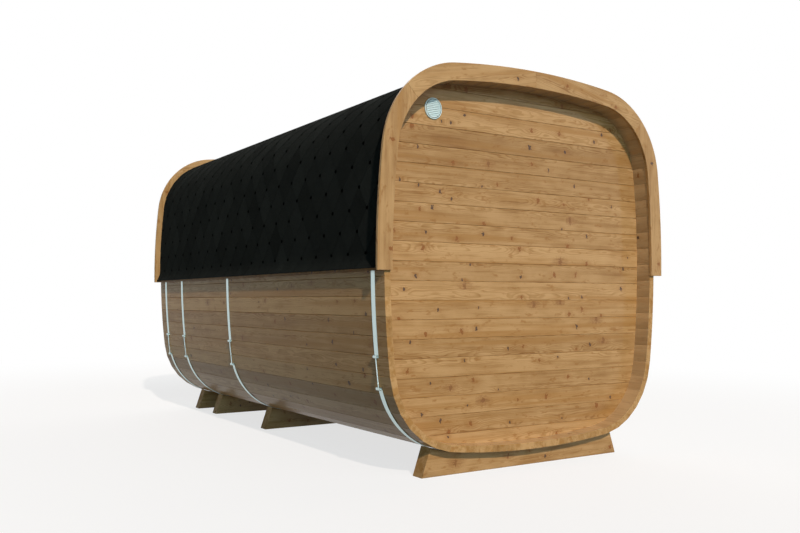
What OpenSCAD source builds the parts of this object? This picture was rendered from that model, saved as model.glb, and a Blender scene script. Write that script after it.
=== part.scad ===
// Cube sauna: a staved timber cabin with a rounded square section,
// lying on four cradles and bound by four steel straps.
// Length runs along Y, width along X and height along Z.
// The origin is on the ground under the middle of the cabin.

/* [Shell] */
// Width across the staves at mid-height
shell_w = 2500; // [2300:10:2700]
// Height over the staves at mid-width
shell_h = 2500; // [2300:10:2700]
// Length of the staves
shell_l = 3940; // [3800:10:4400]
// Thickness of the staves
stave_t = 45; // [36:1:60]
// Radius of the gently bowed sides
side_r = 5925; // [5000:25:8000]
// Radius of the gently bowed floor and roof
top_r = 6245; // [5000:25:8000]
// Radius of the four rounded corners
corner_r = 571; // [450:1:700]
// Height of the staves' lowest line above the ground
ground_gap = 121; // [100:1:150]

/* [Staves] */
// Staves in the floor panel
floor_staves = 12; // [10:1:14]
// Staves in each corner panel
corner_staves = 6; // [5:1:8]
// Staves in each side panel
side_staves = 12; // [10:1:14]
// Staves in the roof panel
roof_staves = 11; // [9:1:13]
// Depth of the bevelled joint between two staves
joint_depth = 3; // [1:0.5:5]

/* [End walls] */
// Thickness of the end walls
wall_t = 45; // [36:1:60]
// Depth of the recess from the stave ends to an end wall
recess = 110; // [80:1:200]
// Depth of the groove that the staves hold an end wall in
croze_depth = 12; // [6:1:15]
// Height of one wall board
board_h = 125; // [100:1:150]
// Distance of the highest board joint below the top of the staves
board_drop = 114; // [60:1:140]
// Depth of the bevelled joint between two boards
board_joint = 3; // [1:0.5:5]

/* [Arch trim] */
// Thickness of the trim boards on the stave ends
trim_t = 20; // [15:1:30]
// Stand-out of the trim beyond the staves
trim_out = 65; // [50:1:80]
// Reach of the trim over the stave ends, inwards
trim_in = 49; // [40:1:60]
// Distance of the trim's feet below mid-height
trim_foot = 55; // [55:1:120]

/* [Roof] */
// Thickness of the roof covering
roof_t = 12; // [8:1:16]
// Distance above mid-height where the eave starts to kick out
kick_top = 22; // [10:1:40]
// Distance of the drip edge below mid-height
drip_low = 39; // [36:1:50]
// Thickness of the kicked-out starter strip
kick_t = 5; // [3:1:8]
// Height of the eave batten
batten_h = 22; // [16:1:30]
// Stand-out of the eave batten from the staves
batten_out = 34; // [25:1:40]

/* [Straps] */
// Distance of the first strap's middle from the rear stave ends
rear_strap = 120; // [100:1:200]
// Distances of the other straps' middles from the front stave ends
front_straps = [1663, 600, 157];
// Width of the steel straps
strap_w = 40; // [30:1:50]
// Thickness of the steel straps
strap_t = 2; // [1.5:0.5:3]
// Distance of the upper lugs' lower edge below mid-height
lug_low = 598; // [500:1:650]
// Free length of the tension rod between the lugs
rod_free = 184; // [120:1:240]
// Steel left round the barrel's hole in a lug
lug_rim = 3; // [2:0.5:5]
// Diameter of the tension rods
rod_d = 8; // [6:1:9]
// Diameter of the barrel that holds a rod's end in its lug
barrel_d = 11; // [11:1:14]
// Depth of the barrel's ends below the lug's sides
barrel_inset = 7; // [2:1:12]

/* [Cradles] */
// Thickness of the cradle beams
cradle_t = 95; // [70:1:120]
// Height of the cradle beams at their tips
cradle_h = 195; // [170:1:230]
// Length of the cradle beams along the ground
cradle_l = 1810; // [1600:10:2000]
// Slope of the cradle ends from upright
cradle_slope = 20; // [0:1:25]

/* [Vent] */
// Distance of the vent's middle in from the cabin's left side
vent_in = 464; // [420:1:700]
// Distance of the vent's middle below the top of the staves
vent_down = 251; // [240:1:400]
// Diameter of the vent's flange
vent_d = 138; // [126:1:150]
// Diameter of the air duct through the wall
duct_d = 100; // [80:1:106]
// Stand-out of the vent's rim
vent_out = 9; // [7:1:14]
// Width of the vent's rim
rim_w = 7; // [5:1:10]
// Width of the open groove between the rim and the louvre
vent_groove = 4; // [2:1:5]
// Number of louvre slats
slats = 9; // [7:1:11]

/* [Door] */
// Width of the door leaf
leaf_w = 694; // [600:1:760]
// Height of the door leaf
leaf_h = 1850; // [1700:1:1900]
// Thickness of the door leaf
leaf_t = 42; // [30:1:45]
// Width of the frame's posts and rails
frame_w = 45; // [36:1:60]
// Height of the front wall's sill course at mid-width
sill_h = 100; // [80:1:160]
// Running gap around the door leaf
leaf_gap = 3; // [2:0.5:5]
// Planks in the door leaf
planks = 6; // [4:1:8]

/* [Fits] */
// Gap where curved pieces seat on each other
seat_gap = 0.3; // [0.2:0.1:0.5]

/* [Hidden] */
$fn = 360;
eps = 1;

// Half sizes and the shell's middle
half_w = shell_w / 2;
half_h = shell_h / 2;
half_l = shell_l / 2;
mid_z = ground_gap + half_h;
top_z = ground_gap + shell_h;

// Corner arc centre, tangent to the side arc and to the top arc
side_c = half_w - side_r;
top_c = half_h - top_r;
side_reach = side_r - corner_r;
top_reach = top_r - corner_r;
span = norm([side_c, top_c]);
along = (side_reach * side_reach - top_reach * top_reach + span * span) / (2 * span);
across = sqrt(side_reach * side_reach - along * along);
toward = [-side_c, top_c] / span;
corner_c = [side_c, 0] + along * toward + across * [-toward[1], toward[0]];
side_a = atan2(corner_c[1], corner_c[0] - side_c);
top_a = atan2(corner_c[0], corner_c[1] - top_c);

// The outline as nine arcs, anticlockwise from the bottom middle:
// centre x, centre y, radius, first angle, last angle
ARCS = [
    [0, -top_c, top_r, -90, -90 + top_a],
    [corner_c[0], -corner_c[1], corner_r, -90 + top_a, -side_a],
    [side_c, 0, side_r, -side_a, side_a],
    [corner_c[0], corner_c[1], corner_r, side_a, 90 - top_a],
    [0, top_c, top_r, 90 - top_a, 90 + top_a],
    [-corner_c[0], corner_c[1], corner_r, 90 + top_a, 180 - side_a],
    [-side_c, 0, side_r, 180 - side_a, 180 + side_a],
    [-corner_c[0], -corner_c[1], corner_r, 180 + side_a, 270 - top_a],
    [0, -top_c, top_r, 270 - top_a, 270]
];
function arc_length(i) = ARCS[i][2] * (ARCS[i][4] - ARCS[i][3]) * PI / 180;
function arc_start(i) = i == 0 ? 0 : arc_start(i - 1) + arc_length(i - 1);
STARTS = [for (i = [0:len(ARCS)]) arc_start(i)];
girth = STARTS[len(ARCS)];

// Which arc a distance round the outline falls on, its angle and its point
function wrap(s) = s - girth * floor(s / girth);
function arc_of(s, i = 0) = i == len(ARCS) - 1 || s < STARTS[i + 1] ? i : arc_of(s, i + 1);
function angle_on(i, s) = ARCS[i][3] + (s - STARTS[i]) / ARCS[i][2] * 180 / PI;
function angle_at(s) = angle_on(arc_of(wrap(s)), wrap(s));
function point_on(i, a, off) =
    [ARCS[i][0], ARCS[i][1]] + (ARCS[i][2] + off) * [cos(a), sin(a)];
function point_at(s, off = 0) = point_on(arc_of(wrap(s)), angle_at(s), off);

// Landmarks round the outline
right_mid = STARTS[2] + arc_length(2) / 2;
left_mid = STARTS[6] + arc_length(6) / 2;
top_mid = STARTS[4] + arc_length(4) / 2;
right_mitre = STARTS[3] + arc_length(3) / 2;
left_mitre = STARTS[5] + arc_length(5) / 2;

// Stave joints
staves = floor_staves + 4 * corner_staves + 2 * side_staves + roof_staves;
stave_w = girth / staves;
joint_1 = floor_staves / 2;
joint_2 = joint_1 + corner_staves;
joint_3 = joint_2 + side_staves;
joint_4 = joint_3 + corner_staves;
joint_5 = joint_4 + roof_staves;
joint_6 = joint_5 + corner_staves;
joint_7 = joint_6 + side_staves;
joint_8 = joint_7 + corner_staves;

// End walls
rear_face = -half_l + recess;
front_face = half_l - recess;
wall_off = -stave_t + croze_depth - seat_gap;

// Middles of the straps and their cradles along Y
strap_y = concat([rear_strap - half_l], [for (at = front_straps) half_l - at]);

// Door
opening_w = leaf_w + 2 * (frame_w + leaf_gap);
opening_low = ground_gap + stave_t + sill_h;
opening_h = leaf_h + 2 * (frame_w + leaf_gap);
opening_top = opening_low + opening_h;

// ---------- section helpers, drawn in the XZ plane about the shell's middle ----------

// A move in two steps, whole millimetres first, so that the arcs meet to a millionth
module fine_move(v) {
    whole = [floor(v[0]), floor(v[1])];
    translate(whole)
        translate(v - whole)
            children();
}

// The full disc behind one arc, its radius changed by off
module disc(i, off) {
    fine_move([ARCS[i][0], ARCS[i][1]])
        circle(r = ARCS[i][2] + off);
}

// What a rounded corner leaves: its disc, and all that lies outside its wedge
module corner_limit(i, off) {
    far = 2 * (shell_w + shell_h);
    centre = [ARCS[i][0], ARCS[i][1]];
    turns = 4;
    step = (360 - ARCS[i][4] + ARCS[i][3]) / turns;
    disc(i, off);
    polygon(concat([centre], [
        for (k = [0:turns])
            centre + far * [cos(ARCS[i][3] - k * step), sin(ARCS[i][3] - k * step)]
    ]));
}

// The whole area within the outline, moved out or in by off
module region_2d(off) {
    intersection() {
        disc(0, off);
        disc(2, off);
        disc(4, off);
        disc(6, off);
        corner_limit(1, off);
        corner_limit(3, off);
        corner_limit(5, off);
        corner_limit(7, off);
    }
}

// A ring all the way round the outline, between two offsets
module ring_2d(low, high) {
    difference() {
        region_2d(high);
        region_2d(low);
    }
}

// A band that follows the outline from s1 to s2, between two offsets
module band_2d(s1, s2, low, high) {
    cover = 20;
    chord = 100;
    facets = ceil((s2 - s1) / chord);
    steps = [for (k = [0:facets]) s1 + (s2 - s1) * k / facets];
    intersection() {
        ring_2d(low, high);
        polygon(concat(
            [for (k = [0:facets]) point_at(steps[k], high + cover)],
            [for (k = [facets:-1:0]) point_at(steps[k], low - cover)]
        ));
    }
}

// Stands a section up and gives it a length from y1 to y2
module run(y1, y2) {
    translate([0, y2, mid_z])
        rotate([90, 0, 0])
            linear_extrude(y2 - y1)
                children();
}

// A bevelled joint line across the outline at s
module joint_2d(s, depth, off) {
    translate(point_at(s, off))
        rotate(angle_at(s))
            polygon([[-depth, 0], [eps, depth + eps], [eps, -depth - eps]]);
}

// The space that the four straps take up, with their seat gap
module strap_channels() {
    half = strap_w / 2 + seat_gap;
    for (y = strap_y)
        run(y - half, y + half)
            ring_2d(-eps, strap_t + 2 * seat_gap);
}

// ---------- shell ----------

// The section of a run of staves, from joint k1 to joint k2: each flat on its inner face
module staves_2d(k1, k2) {
    cover = 20;
    inset = seat_gap / 2;
    ends = [k1 * stave_w + inset, k2 * stave_w - inset];
    inner = [for (k = [k1 + 1:1:k2 - 1]) k * stave_w];
    marks = concat([ends[0]], inner, [ends[1]]);
    last = len(marks) - 1;
    difference() {
        intersection() {
            region_2d(0);
            polygon(concat(
                [for (i = [0:last]) point_at(marks[i], cover)],
                [for (i = [last:-1:0]) point_at(marks[i], -stave_t)]
            ));
        }
        for (k = [k1:k2])
            joint_2d(k * stave_w, joint_depth, 0);
    }
}

// Staves as one solid, with the croze grooves that hold the end walls
module shell_panel(k1, k2) {
    color("burlywood")
        difference() {
            run(-half_l, half_l)
                staves_2d(k1, k2);
            for (y = [rear_face, front_face - wall_t])
                run(y - seat_gap, y + wall_t + seat_gap)
                    region_2d(-stave_t + croze_depth);
        }
}

// A tight corner, where every stave is a solid of its own
module shell_corner(k1, k2) {
    for (k = [k1:k2 - 1])
        shell_panel(k, k + 1);
}

module shell_floor() {
    shell_panel(-joint_1, joint_1);
}

module corner_low_right() {
    shell_corner(joint_1, joint_2);
}

module shell_right() {
    shell_panel(joint_2, joint_3);
}

module corner_top_right() {
    shell_corner(joint_3, joint_4);
}

module shell_roof() {
    shell_panel(joint_4, joint_5);
}

module corner_top_left() {
    shell_corner(joint_5, joint_6);
}

module shell_left() {
    shell_panel(joint_6, joint_7);
}

module corner_low_left() {
    shell_corner(joint_7, joint_8);
}

// ---------- end walls ----------

// Bevelled joints between the wall boards, on the face at y
module board_joints(y) {
    count = ceil(shell_h / board_h);
    for (k = [0:count])
        translate([-half_w, y, top_z - board_drop - k * board_h])
            rotate([0, 90, 0])
                linear_extrude(shell_w)
                    polygon([[0, -board_joint], [board_joint + eps, eps], [-board_joint - eps, eps]]);
}

module wall_plate(y) {
    difference() {
        run(y, y + wall_t)
            region_2d(wall_off);
        translate([0, y, 0])
            mirror([0, 1, 0])
                board_joints(0);
        board_joints(y + wall_t);
    }
}

module rear_wall() {
    color("burlywood")
        difference() {
            wall_plate(rear_face);
            translate([vent_in - half_w, rear_face - eps, top_z - vent_down])
                rotate([-90, 0, 0])
                    cylinder(d = duct_d + 2 * seat_gap, h = wall_t + 2 * eps);
        }
}

// The part of the front wall inside a box from low to high
module front_wall_part(low, high) {
    color("burlywood")
        intersection() {
            wall_plate(front_face - wall_t);
            translate([low[0], half_l - 2 * recess - wall_t, low[1]])
                cube([high[0] - low[0], 2 * recess + wall_t, high[1] - low[1]]);
        }
}

module front_wall_left() {
    front_wall_part([-half_w, 0], [-opening_w / 2, top_z]);
}

module front_wall_right() {
    front_wall_part([opening_w / 2, 0], [half_w, top_z]);
}

module front_wall_head() {
    front_wall_part([-opening_w / 2, opening_top], [opening_w / 2, top_z]);
}

module front_wall_sill() {
    front_wall_part([-opening_w / 2, 0], [opening_w / 2, opening_low]);
}

// ---------- arch trim ----------

module trim_piece(s1, s2, y) {
    color("tan")
        run(y, y + trim_t)
            band_2d(s1, s2, -trim_in, trim_out);
}

module rear_trim_right() {
    trim_piece(right_mid - trim_foot, right_mitre, -half_l - trim_t);
}

module rear_trim_top_right() {
    trim_piece(right_mitre, top_mid, -half_l - trim_t);
}

module rear_trim_top_left() {
    trim_piece(top_mid, left_mitre, -half_l - trim_t);
}

module rear_trim_left() {
    trim_piece(left_mitre, left_mid + trim_foot, -half_l - trim_t);
}

module front_trim_right() {
    trim_piece(right_mid - trim_foot, right_mitre, half_l);
}

module front_trim_top_right() {
    trim_piece(right_mitre, top_mid, half_l);
}

module front_trim_top_left() {
    trim_piece(top_mid, left_mitre, half_l);
}

module front_trim_left() {
    trim_piece(left_mitre, left_mid + trim_foot, half_l);
}

// ---------- roof covering ----------

module covering(s1, s2) {
    difference() {
        run(-half_l + seat_gap, half_l - seat_gap)
            band_2d(s1, s2, seat_gap, seat_gap + roof_t);
        strap_channels();
    }
}

// The starter strip that kicks out over the batten, on the right-hand side.
// Its top is tucked into the first course.
module kick() {
    tuck = 6;
    top = kick_top + tuck;
    run(-half_l + seat_gap, half_l - seat_gap)
        translate([half_w, 0])
            polygon([
                [strap_t + 2 * seat_gap, top],
                [roof_t - 2, top],
                [roof_t - 2, kick_top],
                [batten_out + 2 * kick_t, -drip_low],
                [batten_out + kick_t, -drip_low],
                [strap_t + 2 * seat_gap, kick_top]
            ]);
}

module roofing_right() {
    color("dimgray")
        union() {
            covering(right_mid + kick_top, joint_4 * stave_w);
            kick();
        }
}

module roofing_top() {
    color("dimgray")
        covering(joint_4 * stave_w, joint_5 * stave_w);
}

module roofing_left() {
    color("dimgray")
        union() {
            covering(joint_5 * stave_w, left_mid - kick_top);
            mirror([1, 0, 0])
                kick();
        }
}

module batten() {
    difference() {
        run(-half_l + seat_gap, half_l - seat_gap)
            translate([half_w + seat_gap, -trim_foot])
                square([batten_out - seat_gap, batten_h]);
        strap_channels();
    }
}

module eave_batten_right() {
    color("saddlebrown")
        batten();
}

module eave_batten_left() {
    color("saddlebrown")
        mirror([1, 0, 0])
            batten();
}

// ---------- straps and their tensioners ----------

strap_low = seat_gap;
strap_high = seat_gap + strap_t;
upper_end = right_mid - lug_low;
lower_end = upper_end - rod_free;
strap_tuck = 3;
rod_mid = (upper_end + lower_end) / 2;
lug_h = barrel_d + 2 * seat_gap + 2 * lug_rim;
rod_off = strap_high + seat_gap + barrel_d / 2;
lug_out = rod_off + barrel_d / 2 + seat_gap + lug_rim;
lug_fold = 4;

// Places a child on the right-hand side at s: x points outwards, y up the side
module on_side(s, y) {
    translate([0, y, mid_z])
        rotate([90, 0, 0])
            translate(point_at(s, 0))
                rotate(angle_at(s))
                    children();
}

// A point of the tensioner's own frame, in the section
function tension_point(x, y) =
    point_at(rod_mid, x) + y * [-sin(angle_at(rod_mid)), cos(angle_at(rod_mid))];

// A folded lug rooted in the strap, with its barrel's and its rod's holes; end is 1 above
// the rod and -1 below
module lug(end, y) {
    near = rod_free / 2;
    far = near + lug_h;
    root = (strap_low + strap_high) / 2;
    difference() {
        run(y - strap_w / 2, y + strap_w / 2)
            polygon([
                point_at(rod_mid + end * near, root), point_at(rod_mid + end * far, root),
                tension_point(lug_out - lug_fold, end * far),
                tension_point(lug_out, end * (far - lug_fold)),
                tension_point(lug_out, end * (near + lug_fold)),
                tension_point(lug_out - lug_fold, end * near)
            ]);
        on_side(rod_mid, y)
            translate([rod_off, end * (near + far) / 2, 0]) {
                cylinder(d = barrel_d + 2 * seat_gap, h = strap_w + 2, center = true, $fn = 48);
                rotate([end * 90, 0, 0])
                    cylinder(d = rod_d + 2 * seat_gap, h = lug_h, $fn = 48);
            }
    }
}

// Both lugs of the right-hand side
module lug_pair(y) {
    for (end = [-1, 1])
        lug(end, y);
}

module strap(k) {
    y = strap_y[k];
    color("lightsteelblue")
        union() {
            run(y - strap_w / 2, y + strap_w / 2) {
                band_2d(upper_end + strap_tuck, girth - upper_end - strap_tuck, strap_low, strap_high);
                band_2d(-lower_end + strap_tuck, lower_end - strap_tuck, strap_low, strap_high);
            }
            lug_pair(y);
            mirror([1, 0, 0])
                lug_pair(y);
        }
}

module strap_1() {
    strap(0);
}

module strap_2() {
    strap(1);
}

module strap_3() {
    strap(2);
}

module strap_4() {
    strap(3);
}

// A threaded rod between the barrels that turn in the lugs
module tension_rod() {
    reach = (rod_free + lug_h) / 2;
    translate([rod_off, 0, 0]) {
        rotate([90, 0, 0])
            cylinder(d = rod_d, h = 2 * reach, center = true, $fn = 48);
        for (end = [-1, 1])
            translate([0, end * reach, 0])
                cylinder(d = barrel_d, h = strap_w - 2 * barrel_inset, center = true, $fn = 48);
    }
}

module tensioners(k) {
    y = strap_y[k];
    color("silver") {
        on_side(rod_mid, y)
            tension_rod();
        mirror([1, 0, 0])
            on_side(rod_mid, y)
                tension_rod();
    }
}

module tensioners_1() {
    tensioners(0);
}

module tensioners_2() {
    tensioners(1);
}

module tensioners_3() {
    tensioners(2);
}

module tensioners_4() {
    tensioners(3);
}

// ---------- cradles ----------

module cradle(k) {
    y = strap_y[k];
    tip = cradle_l / 2 - cradle_h * tan(cradle_slope);
    color("peru")
        difference() {
            run(y - cradle_t / 2, y + cradle_t / 2)
                difference() {
                    translate([0, -mid_z])
                        polygon([
                            [-cradle_l / 2, 0], [cradle_l / 2, 0],
                            [tip, cradle_h], [-tip, cradle_h]
                        ]);
                    region_2d(seat_gap);
                }
            strap_channels();
        }
}

module cradle_1() {
    cradle(0);
}

module cradle_2() {
    cradle(1);
}

module cradle_3() {
    cradle(2);
}

module cradle_4() {
    cradle(3);
}

// ---------- vent ----------

flange_t = 3;

// Stands a child on the rear wall's outer face at the vent, z pointing outwards
module at_vent() {
    translate([vent_in - half_w, rear_face, top_z - vent_down])
        rotate([90, 0, 0])
            children();
}

module vent_body() {
    duct_wall = 3;
    rim_edge = 2;
    outer = vent_d / 2;
    bore = duct_d / 2 - duct_wall;
    color("lightcyan")
        at_vent()
            rotate_extrude()
                polygon([
                    [bore, -wall_t], [duct_d / 2, -wall_t], [duct_d / 2, seat_gap],
                    [outer, seat_gap], [outer, vent_out - rim_edge], [outer - rim_edge, vent_out],
                    [outer - rim_w, vent_out], [outer - rim_w, flange_t], [bore, flange_t]
                ]);
}

// A ring with slats that slope down outwards, seated on the flange inside the rim
module vent_louvre() {
    plate_r = vent_d / 2 - rim_w - vent_groove;
    ring_w = 4;
    rise = flange_t + seat_gap;
    plate_t = vent_out - rise;
    pitch = 2 * (plate_r - ring_w) / slats;
    slat_t = 1.5;
    tilt = 20;
    color("lightcyan")
        at_vent()
            translate([0, 0, rise]) {
                difference() {
                    cylinder(r = plate_r, h = plate_t);
                    translate([0, 0, -eps])
                        cylinder(r = plate_r - ring_w, h = plate_t + 2 * eps);
                }
                intersection() {
                    cylinder(r = plate_r - ring_w / 2, h = plate_t);
                    for (k = [0:slats - 1])
                        translate([0, (k + 0.5 - slats / 2) * pitch, plate_t / 2])
                            rotate([-tilt, 0, 0])
                                cube([2 * plate_r, 0.95 * pitch, slat_t], center = true);
                }
            }
}

// ---------- door ----------

module door_frame() {
    frame_t = wall_t + 10;
    gap = seat_gap;
    y = front_face - wall_t;
    color("burlywood") {
        for (side = [-1, 1])
            translate([side * (opening_w - frame_w) / 2, y + frame_t / 2, opening_low + opening_h / 2])
                cube([frame_w - 2 * gap, frame_t, opening_h - 2 * gap], center = true);
        for (z = [opening_low + frame_w / 2, opening_top - frame_w / 2])
            translate([0, y + frame_t / 2, z])
                cube([opening_w - 2 * frame_w, frame_t, frame_w - 2 * gap], center = true);
    }
}

leaf_low = opening_low + frame_w + leaf_gap;
leaf_face = front_face + 6;

module door_leaf() {
    plank_w = leaf_w / planks;
    color("burlywood")
        difference() {
            translate([-leaf_w / 2, leaf_face - leaf_t, leaf_low])
                cube([leaf_w, leaf_t, leaf_h]);
            for (k = [1:planks - 1])
                translate([k * plank_w - leaf_w / 2, leaf_face, leaf_low - eps])
                    linear_extrude(leaf_h + 2 * eps)
                        polygon([[0, -board_joint], [board_joint + eps, eps], [-board_joint - eps, eps]]);
        }
}

// Two flap hinges on the door's right-hand edge as seen from outside
module door_hinges() {
    flap_t = 2;
    flap_h = 90;
    flap_w = 30;
    knuckle_d = 12;
    x = leaf_w / 2 + leaf_gap / 2;
    frame_face = front_face + 10;
    color("silver")
        for (z = [leaf_low + 0.12 * leaf_h, leaf_low + 0.88 * leaf_h])
            translate([-x, 0, z - flap_h / 2]) {
                translate([0, frame_face + seat_gap + knuckle_d / 2, 0])
                    cylinder(d = knuckle_d, h = flap_h, $fn = 48);
                translate([-flap_w, frame_face + seat_gap, 0])
                    cube([flap_w, flap_t, flap_h]);
                translate([0, leaf_face + seat_gap, 0])
                    cube([flap_w, flap_t, flap_h]);
                translate([leaf_gap / 2 + 0.5, leaf_face + seat_gap, 0])
                    cube([3, knuckle_d / 2, flap_h]);
            }
}

// A wooden bar pull on two posts
module door_handle() {
    grip_l = 300;
    grip = 28;
    stand = 38;
    post = 22;
    post_inset = 40;
    inset = 70;
    color("sienna")
        translate([leaf_w / 2 - inset, leaf_face + seat_gap, leaf_low + 0.5 * leaf_h]) {
            translate([0, stand + grip / 2, -grip_l / 2])
                cylinder(d = grip, h = grip_l);
            for (z = [post_inset - grip_l / 2, grip_l / 2 - post_inset])
                translate([0, 0, z])
                    rotate([-90, 0, 0])
                        cylinder(d = post, h = stand + grip / 2, $fn = 48);
        }
}

shell_floor();
shell_right();
shell_left();
shell_roof();
corner_low_right();
corner_low_left();
corner_top_right();
corner_top_left();
rear_wall();
front_wall_left();
front_wall_right();
front_wall_head();
front_wall_sill();
rear_trim_left();
rear_trim_top_left();
rear_trim_top_right();
rear_trim_right();
front_trim_left();
front_trim_top_left();
front_trim_top_right();
front_trim_right();
roofing_left();
roofing_top();
roofing_right();
eave_batten_left();
eave_batten_right();
strap_1();
strap_2();
strap_3();
strap_4();
tensioners_1();
tensioners_2();
tensioners_3();
tensioners_4();
cradle_1();
cradle_2();
cradle_3();
cradle_4();
vent_body();
vent_louvre();
door_frame();
door_leaf();
door_hinges();
door_handle();
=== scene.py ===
"""Looks of the cube sauna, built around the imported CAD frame.

Metres, in the part's own frame: length along Y, the vented end wall at -Y, the door at +Y.
Staves, wall boards, arch trims, shingles, battens, cradle beams and the door are made piece by
piece in place of their plain solids; steel and plastic keep their solids and get a material.
"""

import math
import random

import bpy
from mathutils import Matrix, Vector


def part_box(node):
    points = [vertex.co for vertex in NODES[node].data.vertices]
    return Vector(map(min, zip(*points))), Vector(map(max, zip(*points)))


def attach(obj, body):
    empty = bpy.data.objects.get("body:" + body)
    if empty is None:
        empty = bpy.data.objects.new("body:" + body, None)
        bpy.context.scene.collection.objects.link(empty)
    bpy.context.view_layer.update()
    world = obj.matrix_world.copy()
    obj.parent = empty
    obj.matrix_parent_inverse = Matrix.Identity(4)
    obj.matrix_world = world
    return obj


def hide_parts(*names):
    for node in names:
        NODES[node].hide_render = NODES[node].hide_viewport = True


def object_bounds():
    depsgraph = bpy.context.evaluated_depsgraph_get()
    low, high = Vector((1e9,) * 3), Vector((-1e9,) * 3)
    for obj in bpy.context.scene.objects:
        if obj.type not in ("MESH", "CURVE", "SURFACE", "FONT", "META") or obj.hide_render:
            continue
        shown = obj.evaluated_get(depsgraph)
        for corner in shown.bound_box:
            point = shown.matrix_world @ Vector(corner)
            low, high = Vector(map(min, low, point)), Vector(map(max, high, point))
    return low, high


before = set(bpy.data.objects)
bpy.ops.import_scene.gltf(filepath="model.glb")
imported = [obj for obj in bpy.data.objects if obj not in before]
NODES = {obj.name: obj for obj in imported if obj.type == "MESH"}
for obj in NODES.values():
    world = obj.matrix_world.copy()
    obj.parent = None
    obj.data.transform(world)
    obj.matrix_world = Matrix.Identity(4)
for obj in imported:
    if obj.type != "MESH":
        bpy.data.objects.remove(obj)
cad_low, cad_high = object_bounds()

# ---------- driving sizes, from the frame where it gives them ----------

SHELL_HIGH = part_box("shell_right")[1]
HALF_W, HALF_L = SHELL_HIGH.x, SHELL_HIGH.y
GROUND_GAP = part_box("shell_floor")[0].z
TOP_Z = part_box("shell_roof")[1].z
HALF_H = (TOP_Z - GROUND_GAP) / 2
MID_Z = GROUND_GAP + HALF_H
GAP = 0.0003  # where two pieces seat on each other
HALF_SLIT = 0.0002  # half the open slit between two boards

# the outline's arcs, and the staves that are laid along it
SIDE_R, TOP_R, CORNER_R = 5.925, 6.245, 0.571
FLOOR_STAVES, CORNER_STAVES, SIDE_STAVES, ROOF_STAVES = 12, 6, 12, 11
STAVE_T, STAVE_JOINT, STAVE_END = 0.045, 0.003, 0.0006
INNER_EDGE, TIGHT_EDGE = 0.001, 0.0003  # cut edges of the staves' inner faces

# end walls: thickness, depth behind the stave ends, groove in the staves, height of a board,
# bevel of its joints, distance of the highest joint below the top, lowest board that is made
WALL_T, RECESS, CROZE = 0.045, 0.110, 0.012
BOARD_H, BOARD_JOINT, BOARD_DROP = 0.125, 0.003, 0.114
LEAST_H = 2.5 * BOARD_JOINT
WALL_OFF = -STAVE_T + CROZE - GAP

# arch trims: reach inwards and outwards of the outline, feet below mid-height, thickness
TRIM_IN, TRIM_OUT, TRIM_FOOT = 0.049, 0.065, 0.055
TRIM_T, TRIM_BEVEL = cad_high.y - HALF_L, 0.002

# roof covering, and the starter strip that kicks out at the eave, measured from mid-height
ROOF_T = 0.0123
KICK_TOP, KICK_LENGTH, KICK_OUT, KICK_DOWN = 0.022, 0.075, 0.033, 0.061
EAVE = KICK_TOP - KICK_LENGTH

# shingle tabs: width, showing height, thickness, length from the tip to under the next rows,
# width of the darker rim painted as shade along a tab's edge, power of the edge's gentle belly,
# radius of the painted shade spot in a notch; the first tab's middle in even and odd
# rows; the lowest notch's height, and a notch's half-width, depth and how far it is cut past
TAB_W, ROW_H, TAB_T, TAB_L, TAB_SHADE_RIM, TAB_BELLY = 0.2005, 0.142, 0.0018, 0.33, 0.004, 1.15
NOTCH_SHADE_R, SHIFTS = 0.0125, (0.184, 0.084)
FIRST_NOTCH, NOTCH, NOTCH_TOP, NOTCH_PAST = 0.065, 0.0085, 0.014, 0.008
HALF_TAB = TAB_W / 2

# ridge caps: half their width, showing length, lap and thickness
CAP_HALF, CAP_STEP, CAP_LAP, CAP_T = 0.12, 0.142, 0.06, 0.0027

# eave battens: distance of the back from the staves, bevel
BATTEN_IN, BATTEN_BEVEL = 0.003, 0.0015

# vent: middle, the duct behind it and the groove inside its rim
VENT_LOW, VENT_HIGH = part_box("vent_body")
DUCT = (VENT_LOW.x + VENT_HIGH.x) / 2, (VENT_LOW.z + VENT_HIGH.z) / 2
DUCT_R, GROOVE_R, GROOVE_W = 0.0503, 0.060, 0.004

# cradles: slope of the ends, the hollow's distance from the outline, bevel, height of the heart
END_SLOPE = math.tan(math.radians(20))
SEAT, BEAM_BEVEL, BEAM_HEART = 0.0028, 0.003, 0.07

# door: planks in the leaf, width and bevel of the frame's boards
PLANKS, POST_W, POST_BEVEL = 6, 0.0447, 0.002

rng = random.Random(11)


# ---------- the rounded outline: nine arcs, anticlockwise from the bottom middle ----------

def make_arcs():
    """The arcs as (centre x, centre z, radius, first angle, last angle), z from mid-height.
    A corner's centre (cx, cz) lies at its reach from the side's and from the top's centre, so
    that the arcs meet without a kink."""
    side_c = HALF_W - SIDE_R
    top_c = HALF_H - TOP_R
    side_reach, top_reach = SIDE_R - CORNER_R, TOP_R - CORNER_R
    span = math.hypot(side_c, top_c)
    along = (side_reach ** 2 - top_reach ** 2 + span ** 2) / (2 * span)
    across = math.sqrt(side_reach ** 2 - along ** 2)
    tx, tz = -side_c / span, top_c / span
    cx = side_c + along * tx - across * tz
    cz = along * tz + across * tx
    side_a = math.atan2(cz, cx - side_c)
    top_a = math.atan2(cx, cz - top_c)
    q = math.pi / 2
    return [
        (0, -top_c, TOP_R, -q, -q + top_a),
        (cx, -cz, CORNER_R, -q + top_a, -side_a),
        (side_c, 0, SIDE_R, -side_a, side_a),
        (cx, cz, CORNER_R, side_a, q - top_a),
        (0, top_c, TOP_R, q - top_a, q + top_a),
        (-cx, cz, CORNER_R, q + top_a, 2 * q - side_a),
        (-side_c, 0, SIDE_R, 2 * q - side_a, 2 * q + side_a),
        (-cx, -cz, CORNER_R, 2 * q + side_a, 3 * q - top_a),
        (0, -top_c, TOP_R, 3 * q - top_a, 3 * q),
    ]


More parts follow.
